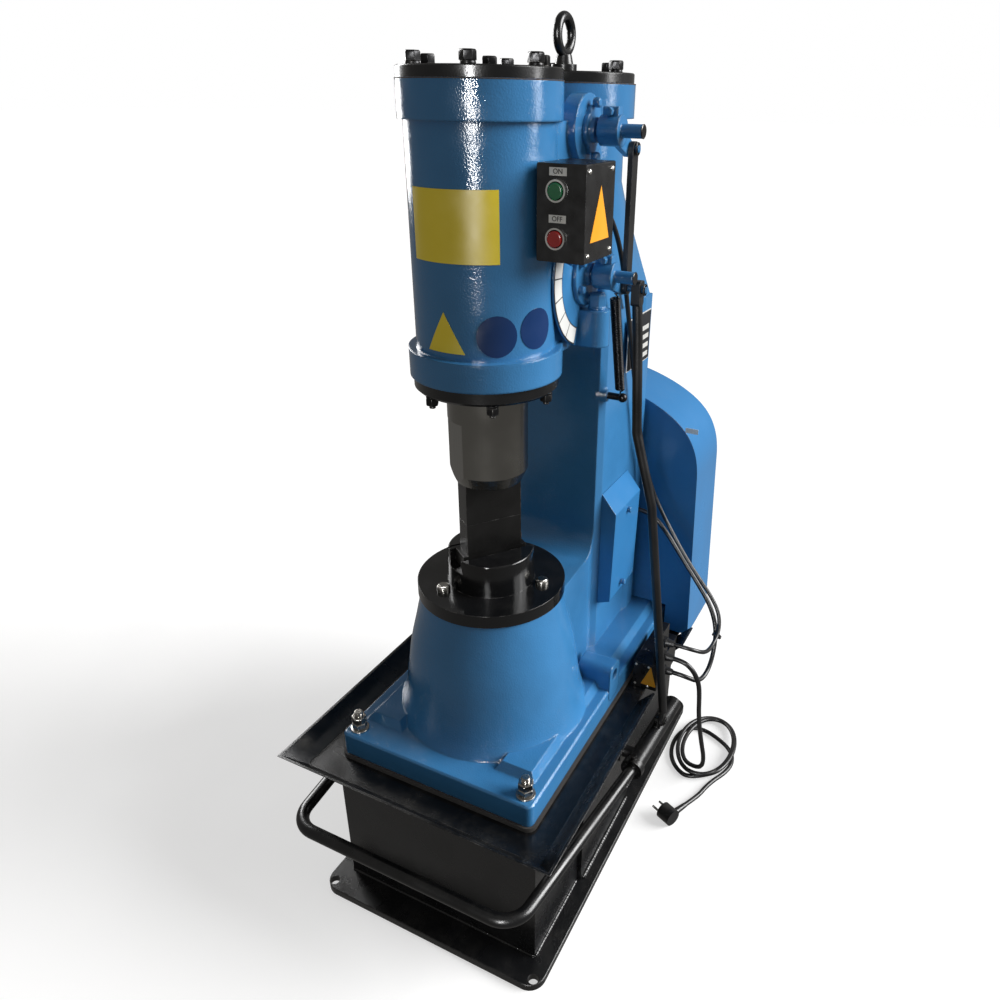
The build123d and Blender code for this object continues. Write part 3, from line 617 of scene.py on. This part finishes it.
# Valve flanges, their bolts and the lever's scale
# The lower valve sits under a round flange, the upper under an oval one. A quadrant
# beside the lower valve carries a pale arc with plain divisions.
valve_y = -0.023
upper_valve_z = 1.303
lower_valve_z = 1.109
cover_x = 0.104
flange = bmesh.new()
turned(flange, ((0.046, 0), (0.0468, 0.001), (0.0468, 0.0065), (0.0455, 0.0078)),
       (cover_x, valve_y, lower_valve_z), (1, 0, 0), sides=64)
piece("lower_valve_flange", flange, casting_paint, "frame")

flange_bolt_circle = 0.0375
valve_bolts = bmesh.new()
for k in range(6):
    angle = math.radians(28 + 60 * k)
    place = (cover_x + 0.0074, valve_y + flange_bolt_circle * math.cos(angle),
             lower_valve_z + flange_bolt_circle * math.sin(angle))
    hex_bolt(valve_bolts, place, (1, 0, 0), 0.0105, spin=k)
oval_bolt_lift = 0.034
for lift in (oval_bolt_lift, -oval_bolt_lift):
    place = (cover_x + 0.0066, valve_y, upper_valve_z + lift)
    hex_bolt(valve_bolts, place, (1, 0, 0), 0.0115, spin=lift * 20)
piece("valve_bolts", valve_bolts, casting_paint, "frame", soften=0.0003)


def sector(mesh, centre, inner, outer, first, last, low, high, steps=28):
    """Adds a flat ring sector facing +X between two angles."""
    rings = []
    for k in range(steps + 1):
        angle = math.radians(first + (last - first) * k / steps)
        across = Vector((0, math.cos(angle), math.sin(angle)))
        rings.append([mesh.verts.new(Vector((x, *centre)) + across * r)
                      for r, x in ((inner, low), (outer, low), (outer, high), (inner, high))])
    join_rings(mesh, rings)
    mesh.faces.new(rings[0])
    mesh.faces.new(tuple(reversed(rings[-1])))


valve_centre = (valve_y, lower_valve_z)
quadrant = bmesh.new()
sector(quadrant, valve_centre, inner=0.044, outer=0.106, first=160, last=254,
       low=cover_x - 0.002, high=cover_x + 0.0012)
piece("scale_quadrant", quadrant, casting_paint, "frame", soften=0.0004)
scale_white = finish("scale_white", (0.75, 0.75, 0.72), 0.35, coat=0.3, fine=500, bump=0.02, mottle=0.04)
scale_black = finish("scale_black", (0.01, 0.01, 0.01), 0.4, fine=500, bump=0.02)
arc = bmesh.new()
sector(arc, valve_centre, inner=0.0795, outer=0.1055, first=156, last=251,
       low=cover_x + 0.0012, high=cover_x + 0.0016)
piece("scale_arc", arc, scale_black, "frame")
cells = bmesh.new()
cell_first = 157
cell_span = 18.6
cell_gap = 0.6
for k in range(5):
    start = cell_first + k * cell_span
    sector(cells, valve_centre, inner=0.0815, outer=0.1035, first=start + cell_gap,
           last=start + cell_span - cell_gap, low=cover_x + 0.0016, high=cover_x + 0.0019, steps=8)
piece("scale_cells", cells, scale_white, "frame")


# Clamp bolts on the levers, washers on the link pins
# Each lever hub is split and pinched on its shaft by one bolt. The pins have washers
# and a split pin outside the link and the rod.
def lever_fasteners(body, valve_z, pin_end):
    """Adds the clamp bolt, the pin's washer and split pin, and the shaft's end cap of one lever."""
    clamp = bmesh.new()
    clamp_z = valve_z + 0.0235
    hex_bolt(clamp, (clamp_x, valve_y - clamp_half, clamp_z), (0, -1, 0), 0.0105)
    hex_bolt(clamp, (clamp_x, valve_y + clamp_half, clamp_z), (0, 1, 0), 0.0105, spin=0.8)
    piece(body + "_clamp_bolt", clamp, casting_paint, body)
    mesh = bmesh.new()
    turned(mesh, ((0.0088, 0), (0.009, 0.0004), (0.009, 0.0012), (0.0086, 0.0016)),
           (pin_end - 0.003, pin_y, valve_z - 0.024), (1, 0, 0))
    turned(mesh, ((0.001, 0), (0.001, 0.015)), (pin_end - 0.0008, pin_y, valve_z - 0.0165),
           (0, 0, -1), sides=10)
    turned(mesh, ((0.0094, 0), (0.0094, 0.0006), (0.0086, 0.0012)),
           (shaft_end_x, valve_y, valve_z), (1, 0, 0))
    piece(body + "_fasteners", mesh, black_bolt, body)


clamp_x = 0.139
clamp_half = 0.009
shaft_end_x = 0.184
pin_y = valve_y + 0.042
lever_fasteners("upper_lever", upper_valve_z, 0.164)
lever_fasteners("lower_lever", lower_valve_z, 0.188)
link_paint = black_paint("link_paint", gloss=0.34, wear=0.5, dust=0.02)
for node in ("link_bar", "operating_rod"):
    dress(node, link_paint)


# Return spring
# A close-wound extension spring in blackened wire. Its lower hook is on the peg, its
# upper hook on the lower lever's pin, so it stretches when the treadle goes down.
def wire(mesh, points, radius, sides=8):
    """Adds a round wire along points."""
    rings = []
    side_way = None
    for k, point in enumerate(points):
        before = points[max(k - 1, 0)]
        after = points[min(k + 1, len(points) - 1)]
        way = (after - before).normalized()
        if side_way is None:
            side_way = way.orthogonal().normalized()
        side_way = (side_way - way * side_way.dot(way)).normalized()
        other_way = way.cross(side_way)
        ring = []
        for corner in range(sides):
            angle = 2 * math.pi * corner / sides
            across = math.cos(angle) * side_way + math.sin(angle) * other_way
            ring.append(mesh.verts.new(point + radius * across))
        rings.append(ring)
    join_and_cap(mesh, rings)


spring_steel = finish("spring_steel", (0.02, 0.02, 0.021), 0.3, metallic=0.8, fine=700, bump=0.08,
                      mottle=0.3)
spring_low = Vector((0.137, 0.063, 0.908))
spring_high = Vector((0.137, 0.021, 1.067))
peg_top = Vector((0.137, 0.064, 0.8995))
pin_under = Vector((0.137, 0.0195, 1.0795))
spring_way = (spring_high - spring_low).normalized()
spring_side = Vector((1, 0, 0))
spring_front = spring_way.cross(spring_side)
wire_radius = 0.0014
coil_radius = 0.0071
coil_pitch = 2.15 * wire_radius
turns = int((spring_high - spring_low).length / coil_pitch)
points_per_coil = 10
coil_points = [peg_top + Vector((0, 0.002, -0.0005)), peg_top + Vector((0, 0.001, 0.0028))]
for k in range(turns * points_per_coil + 1):
    angle = 2 * math.pi * k / points_per_coil
    middle = spring_low.lerp(spring_high, k / (turns * points_per_coil))
    across = math.cos(angle) * spring_side + math.sin(angle) * spring_front
    coil_points.append(middle + coil_radius * across)
coil_points += [pin_under + Vector((0, 0.001, -0.005)), pin_under]
spring_mesh = bmesh.new()
wire(spring_mesh, coil_points, wire_radius, sides=7)
spring_data = bpy.data.meshes.new("return_spring_coil")
spring_mesh.to_mesh(spring_data)
spring_mesh.free()
spring_data.materials.append(spring_steel)
spring_data.shade_smooth()
spring = bpy.data.objects.new("return_spring_coil", spring_data)
bpy.context.collection.objects.link(spring)
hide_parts("return_spring")
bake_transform(spring)
dress("spring_peg", black_bolt)


# Treadle
# Bent round bar pushed into two tubes on a cross shaft, held by a bolt at each side,
# all in black paint that is rubbed thin at the edges.
treadle_paint = black_paint("treadle_paint", gloss=0.26, wear=0.4, dust=0.05)
dress("treadle", treadle_paint)
shaft_end = Vector((0.2555, -0.038, 0.232))
rod_pin_end = Vector((0.2745, 0.042, 0.26))
treadle_screws = bmesh.new()
for side in (-1, 1):
    hex_bolt(treadle_screws, (side * 0.2548, -0.071, 0.2525), (0, 0, 1), 0.011, spin=side)
    turned(treadle_screws, ((0.0125, 0), (0.0125, 0.002), (0.0115, 0.003)),
           (side * shaft_end.x, shaft_end.y, shaft_end.z), (side, 0, 0))
turned(treadle_screws, ((0.0085, 0), (0.0085, 0.0016), (0.008, 0.002)), rod_pin_end, (1, 0, 0))
piece("treadle_screws", treadle_screws, black_bolt, "treadle", soften=0.0003)


# Push-button station
# A small black steel box on the cylinder's side: green above red, each in a plated
# bezel under a pale tag, and a screwed lid on the outer side.
box_paint = finish("box_paint", (0.0028, 0.0028, 0.0032), 0.3, fine=900, broad=40, bump=0.22,
                   mottle=0.2, wear=0.2, bare=(0.15, 0.15, 0.15), dust=0.03, rounding=0.001)
start_green = finish("start_green", (0.012, 0.21, 0.075), 0.22, coat=0.5, fine=300, bump=0.02)
stop_red = finish("stop_red", (0.5, 0.016, 0.012), 0.22, coat=0.5, fine=300, bump=0.02)
bezel_plate = finish("bezel_plate", (0.62, 0.62, 0.6), 0.25, metallic=1, fine=500, bump=0.05)
dress("control_box", box_paint)
dress("start_button", start_green)
dress("stop_button", stop_red)
dress("button_bezels", bezel_plate)
screw_plate = finish("screw_plate", (0.5, 0.49, 0.46), 0.3, metallic=1, fine=500, bump=0.1, mottle=0.2)
box_low, box_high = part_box("control_box")


def pan_screw(mesh, place, axis, radius):
    """Adds a domed screw head."""
    turned(mesh, ((radius, 0), (radius * 0.96, radius * 0.25), (radius * 0.75, radius * 0.5),
                  (radius * 0.35, radius * 0.62)), place, axis, sides=20)


box_screws = bmesh.new()
for y in (box_low.y + 0.009, box_high.y - 0.010):
    for z in (box_low.z + 0.0095, box_high.z - 0.0085):
        pan_screw(box_screws, (box_high.x, y, z), (1, 0, 0), 0.0035)
piece("box_screws", box_screws, screw_plate, "frame")


def patch(name, corners, lay, material, per_side=10, thickness=0.0004):
    """Lays a thin label of a convex outline on a surface: lay turns its own two sizes into a place."""
    outline = []
    for here, there in zip(corners, corners[1:] + corners[:1]):
        for k in range(per_side):
            share = k / per_side
            outline.append((here[0] + (there[0] - here[0]) * share,
                            here[1] + (there[1] - here[1]) * share))
    mid_u = sum(u for u, v in corners) / len(corners)
    mid_v = sum(v for u, v in corners) / len(corners)
    mesh = bmesh.new()
    rings = []
    for scale in (1.0, 0.9, 0.8, 0.7, 0.6, 0.5, 0.4, 0.3, 0.2, 0.1):
        rings.append([mesh.verts.new(lay(mid_u + (u - mid_u) * scale, mid_v + (v - mid_v) * scale))
                      for u, v in outline])
    heart = mesh.verts.new(lay(mid_u, mid_v))
    join_rings(mesh, rings)
    for k in range(len(outline)):
        mesh.faces.new((rings[-1][k], rings[-1][(k + 1) % len(outline)], heart))
    bmesh.ops.recalc_face_normals(mesh, faces=mesh.faces)
    bmesh.ops.solidify(mesh, geom=mesh.faces[:], thickness=thickness)
    return piece(name, mesh, material, "frame")


def oblong(left, low, right, high):
    """Corners of an upright rectangle."""
    return [(left, low), (right, low), (right, high), (left, high)]


def on_box_front(u, v):
    """Place on the button station's front face."""
    return Vector((u, box_low.y - 0.0004, v))


def on_box_side(u, v):
    """Place on the button station's lid."""
    return Vector((box_high.x + 0.0004, u, v))


tag_white = finish("tag_white", (0.9, 0.9, 0.86), 0.4, fine=500, bump=0.02, mottle=0.05)
tag_middle_x = 0.133
tag_half_height = 0.0048
letter_height = 0.0085
for label, word, z in (("on_tag", "ON", 1.2605), ("off_tag", "OFF", 1.2045)):
    patch(label, oblong(0.121, z - tag_half_height, 0.145, z + tag_half_height),
          on_box_front, tag_white, per_side=3)
    letters = bpy.data.curves.new(label + "_letters", "FONT")
    letters.body = word
    letters.size = letter_height
    letters.align_x = "CENTER"
    letters.align_y = "CENTER"
    letters.extrude = 0.0001
    letters.materials.append(scale_black)
    word_piece = bpy.data.objects.new(label + "_letters", letters)
    word_piece.location = (tag_middle_x, box_low.y - 0.0008, z)
    word_piece.rotation_euler = (math.radians(90), 0, 0)
    bpy.context.collection.objects.link(word_piece)
    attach(word_piece, "frame")


# Plain coloured labels
# Blank vinyl patches: one yellow plate and a row of small shapes on the front
# cylinder, a triangle on the button station's lid and one on the switch box.
label_yellow = finish("label_yellow", (0.95, 0.74, 0.03), 0.36, fine=400, bump=0.03, mottle=0.04)
label_orange = finish("label_orange", (0.9, 0.36, 0.012), 0.36, fine=400, bump=0.03, mottle=0.04)
label_blue = finish("label_blue", (0.004, 0.03, 0.12), 0.18, fine=400, bump=0.03, mottle=0.06)
label_radius = 0.1022


def on_cylinder(u, v):
    """Place on the front cylinder: u is degrees round it, v is height."""
    angle = math.radians(u)
    return Vector((label_radius * math.cos(angle), ram_axis.y + label_radius * math.sin(angle), v))


patch("yellow_label", [(-121, 1.147), (-47.5, 1.1475), (-47.5, 1.2385), (-121, 1.2375)], on_cylinder,
      label_yellow, per_side=26)
patch("yellow_triangle", [(-109.5, 1.0275), (-75.5, 1.0275), (-92.5, 1.083)], on_cylinder,
      label_yellow, per_side=12)
disc_radius = 0.0285
disc_degrees = math.degrees(disc_radius / label_radius)
for label, degrees, height in (("blue_disc_1", -50.5, 1.0525), ("blue_disc_2", -15.5, 1.057)):
    rim = []
    for k in range(24):
        angle = math.radians(15 * k)
        rim.append((degrees + disc_degrees * math.cos(angle), height + disc_radius * math.sin(angle)))
    patch(label, rim, on_cylinder, label_blue, per_side=1)
patch("lid_triangle", [(-0.1625, 1.176), (-0.1015, 1.176), (-0.132, 1.243)], on_box_side, label_orange,
      per_side=4)


# Name plate
# A thin plate stuck on the column's side: a pale metal edge round a dark field, with
# plain pale bars where data would be.
plate_dark = finish("plate_dark", (0.02, 0.022, 0.026), 0.35, metallic=0.4, fine=500, bump=0.05,
                    mottle=0.2)
plate_pale = finish("plate_bar", (0.75, 0.75, 0.72), 0.3, metallic=0.3, fine=500, bump=0.05)
plate_x = 0.1186


def on_column(u, v):
    """Place on the column's side, level with its wide rear part."""
    return Vector((plate_x, u, v))


def on_plate(u, v):
    """Place on top of the name plate."""
    return Vector((plate_x + 0.0008, u, v))


def on_field(u, v):
    """Place on top of the plate's dark field."""
    return Vector((plate_x + 0.0011, u, v))


patch("name_plate", oblong(0.136, 0.912, 0.246, 1.004), on_column, plate_pale,
      per_side=4, thickness=0.0008)
patch("name_plate_field", oblong(0.138, 0.914, 0.244, 1.002), on_plate, plate_dark,
      per_side=2)
for k in range(4):
    low = 0.921 + 0.0165 * k
    patch("plate_bar_" + str(k + 1), oblong(0.170, low, 0.236, low + 0.0085), on_field, plate_pale,
          per_side=2)


# Switch box and glands
# A black sheet-steel box on the tray with a lid, and three nylon glands on its upright
# plate. Two cables are tied together where they loop.
gland_nylon = finish("gland_nylon", (0.016, 0.016, 0.017), 0.4, fine=400, bump=0.05)
dress("switch_box", box_paint)
dress("cable_glands", gland_nylon)
switch_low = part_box("switch_box")[0]
switch_screws = bmesh.new()
for x in (switch_low.x + 0.006, switch_low.x + 0.032):
    for z in (switch_low.z + 0.006, switch_low.z + 0.052):
        pan_screw(switch_screws, (x, switch_low.y, z), (0, -1, 0), 0.0028)
piece("switch_screws", switch_screws, screw_plate, "frame")


def on_switch_front(u, v):
    """Place on the switch box's front."""
    return Vector((u, switch_low.y - 0.0004, v))


patch("switch_triangle", [(0.214, 0.3165), (0.2445, 0.3165), (0.2325, 0.362)], on_switch_front,
      label_orange, per_side=3)


def ring_tie(mesh, centre, way, half_wide, half_high, band):
    """Adds a flat plastic band with a lock block round a pair of cables."""
    thick = 0.0012
    turn = Vector(way).to_track_quat("Z", "Y").to_matrix()
    rows = []
    for k in range(24):
        angle = 2 * math.pi * k / 24
        row = []
        for grow, along in ((0, -band), (thick, -band), (thick, band), (0, band)):
            flat = Vector(((half_wide + grow) * math.cos(angle), (half_high + grow) * math.sin(angle),
                           along))
            row.append(mesh.verts.new(Vector(centre) + turn @ flat))
        rows.append(row)
    join_rings(mesh, rows + rows[:1])
    lock = bmesh.ops.create_cube(mesh, size=1)["verts"]
    lock_centre = Vector(centre) + turn @ Vector((half_wide + 0.002, 0, 0))
    lock_place = Matrix.Translation(lock_centre) @ turn.to_4x4()
    lock_size = Matrix.Diagonal((0.005, 0.004, 0.0055, 1))
    bmesh.ops.transform(mesh, matrix=lock_place @ lock_size, verts=lock)


tie = bmesh.new()
ring_tie(tie, (0.3245, 0.190, 0.3835), (0.1, 0.75, 0.65), half_wide=0.0062, half_high=0.0135,
         band=0.0022)
piece("cable_tie", tie, plug_plastic, "frame")


# Motor
# The motor's cast aluminium shell sits inside the column's pocket, behind the belt
# guard, which hides it.
motor_shell = finish("motor_shell", (0.12, 0.13, 0.14), 0.45, metallic=0.5, fine=300, bump=0.2)
dress("motor", motor_shell)


# Side cover bolts
# Two small hexagon bolts of steel hold the side cover on the column. They were painted
# over with the casting.
side_bolts = bmesh.new()
for y, z in ((0.129, 0.652), (0.121, 0.497)):
    hex_bolt(side_bolts, (0.1385, y, z), (1, 0, 0.1), 0.0105)
piece("side_cover_bolts", side_bolts, casting_paint, "frame", soften=0.0003)


# Belt guard fixings
# A folded seam runs round the guard's rim, six painted hexagon bolts hold the bearing plate
# above it, and a small blank sticker sits on its front.
guard_low, guard_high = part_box("belt_guard")


def on_guard_front(u, v):
    """Place on the guard's front face."""
    return Vector((u, guard_low.y - 0.0003, v))


rim_points = []
for vertex in nodes["belt_guard"].data.vertices:
    spot = nodes["belt_guard"].matrix_world @ vertex.co
    if spot.y > guard_high.y - 0.0005:
        rim_points.append(spot)
guard_heart = Vector((0, guard_high.y, (guard_low.z + guard_high.z) / 2))
rim_points.sort(key=lambda spot: math.atan2(spot.x, -(spot.z - guard_heart.z)))
hem_radius = 0.0017
hem_line = [spot - Vector((0, hem_radius, 0)) for spot in rim_points]
hem = bmesh.new()
wire(hem, hem_line, hem_radius, sides=10)
piece("guard_hem", hem, sheet_paint, "frame")

plate_low, plate_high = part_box("bearing_plate")
bolt_inset = 0.016
plate_bolts = bmesh.new()
for x in (plate_low.x + bolt_inset, plate_high.x - bolt_inset):
    for z in (0.865, 0.935, 1.004):
        hex_bolt(plate_bolts, (x, plate_high.y, z), (0, 1, 0), 0.013, spin=z * 40)
piece("bearing_plate_bolts", plate_bolts, casting_paint, "frame", soften=0.0003)

patch("guard_sticker", oblong(0.199, 0.771, 0.224, 0.781), on_guard_front, tag_white,
      per_side=3)


# Floor and light
# A pale floor under soft studio light: the main light comes from the lever side and above,
# a tall strip stands before the ram, and weaker ones lift the rims on both sides.
floor_mesh = bmesh.new()
bmesh.ops.create_grid(floor_mesh, x_segments=2, y_segments=2, size=60)
floor_data = bpy.data.meshes.new("floor")
floor_mesh.to_mesh(floor_data)
floor_mesh.free()
floor_paper = finish("pale_floor", (0.5, 0.5, 0.5), 0.8, fine=60, broad=3, bump=0.01, mottle=0.01)
floor_shader = floor_paper.node_tree.nodes["Principled BSDF"]
floor_shader.inputs["Emission Color"].default_value = (1, 1, 1, 1)
floor_shader.inputs["Emission Strength"].default_value = 0.56
floor_data.materials.append(floor_paper)
floor = bpy.data.objects.new("floor", floor_data)
bpy.context.collection.objects.link(floor)
floor.visible_diffuse = False
floor.visible_glossy = False

sun_data = bpy.data.lights.new("main_light", "SUN")
sun_data.energy = 5.2
sun_data.angle = math.radians(40)
sun = bpy.data.objects.new("main_light", sun_data)
sun.rotation_euler = Vector((0.906, 0.423, 0.53)).to_track_quat("Z", "Y").to_euler()
bpy.context.collection.objects.link(sun)


def soft_light(name, place, aim, width, height, power):
    """Adds a rectangular lamp that faces a point."""
    lamp = bpy.data.lights.new(name, "AREA")
    lamp.shape = "RECTANGLE"
    lamp.size = width
    lamp.size_y = height
    lamp.energy = power
    holder = bpy.data.objects.new(name, lamp)
    holder.location = place
    holder.rotation_euler = (Vector(aim) - Vector(place)).to_track_quat("-Z", "Y").to_euler()
    holder.visible_diffuse = False
    bpy.context.collection.objects.link(holder)


soft_light("strip_light", (0.92, -2.9, 1.6), (0, -0.14, 1.3), 0.14, 1.4, 85)
soft_light("rim_light", (-2.6, 1.0, 1.8), (0, 0, 1.0), 0.9, 1.8, 70)
soft_light("lever_side_light", (2.4, 0.9, 1.9), (0, 0, 1.0), 0.35, 1.6, 22)

world = bpy.data.worlds.new("studio")
world.use_nodes = True
sky = world.node_tree
room = sky.nodes["Background"]
room.inputs["Color"].default_value = (1.0, 0.97, 0.93, 1)
room.inputs["Strength"].default_value = 0.22
backdrop = sky.nodes.new("ShaderNodeBackground")
backdrop.inputs["Color"].default_value = (1, 1, 1, 1)
seen = sky.nodes.new("ShaderNodeLightPath")
choice = sky.nodes.new("ShaderNodeMixShader")
sky.links.new(seen.outputs["Is Camera Ray"], choice.inputs["Fac"])
sky.links.new(room.outputs["Background"], choice.inputs[1])
sky.links.new(backdrop.outputs["Background"], choice.inputs[2])
sky.links.new(choice.outputs["Shader"], sky.nodes["World Output"].inputs["Surface"])
bpy.context.scene.world = world
bpy.context.scene.view_settings.view_transform = "Standard"
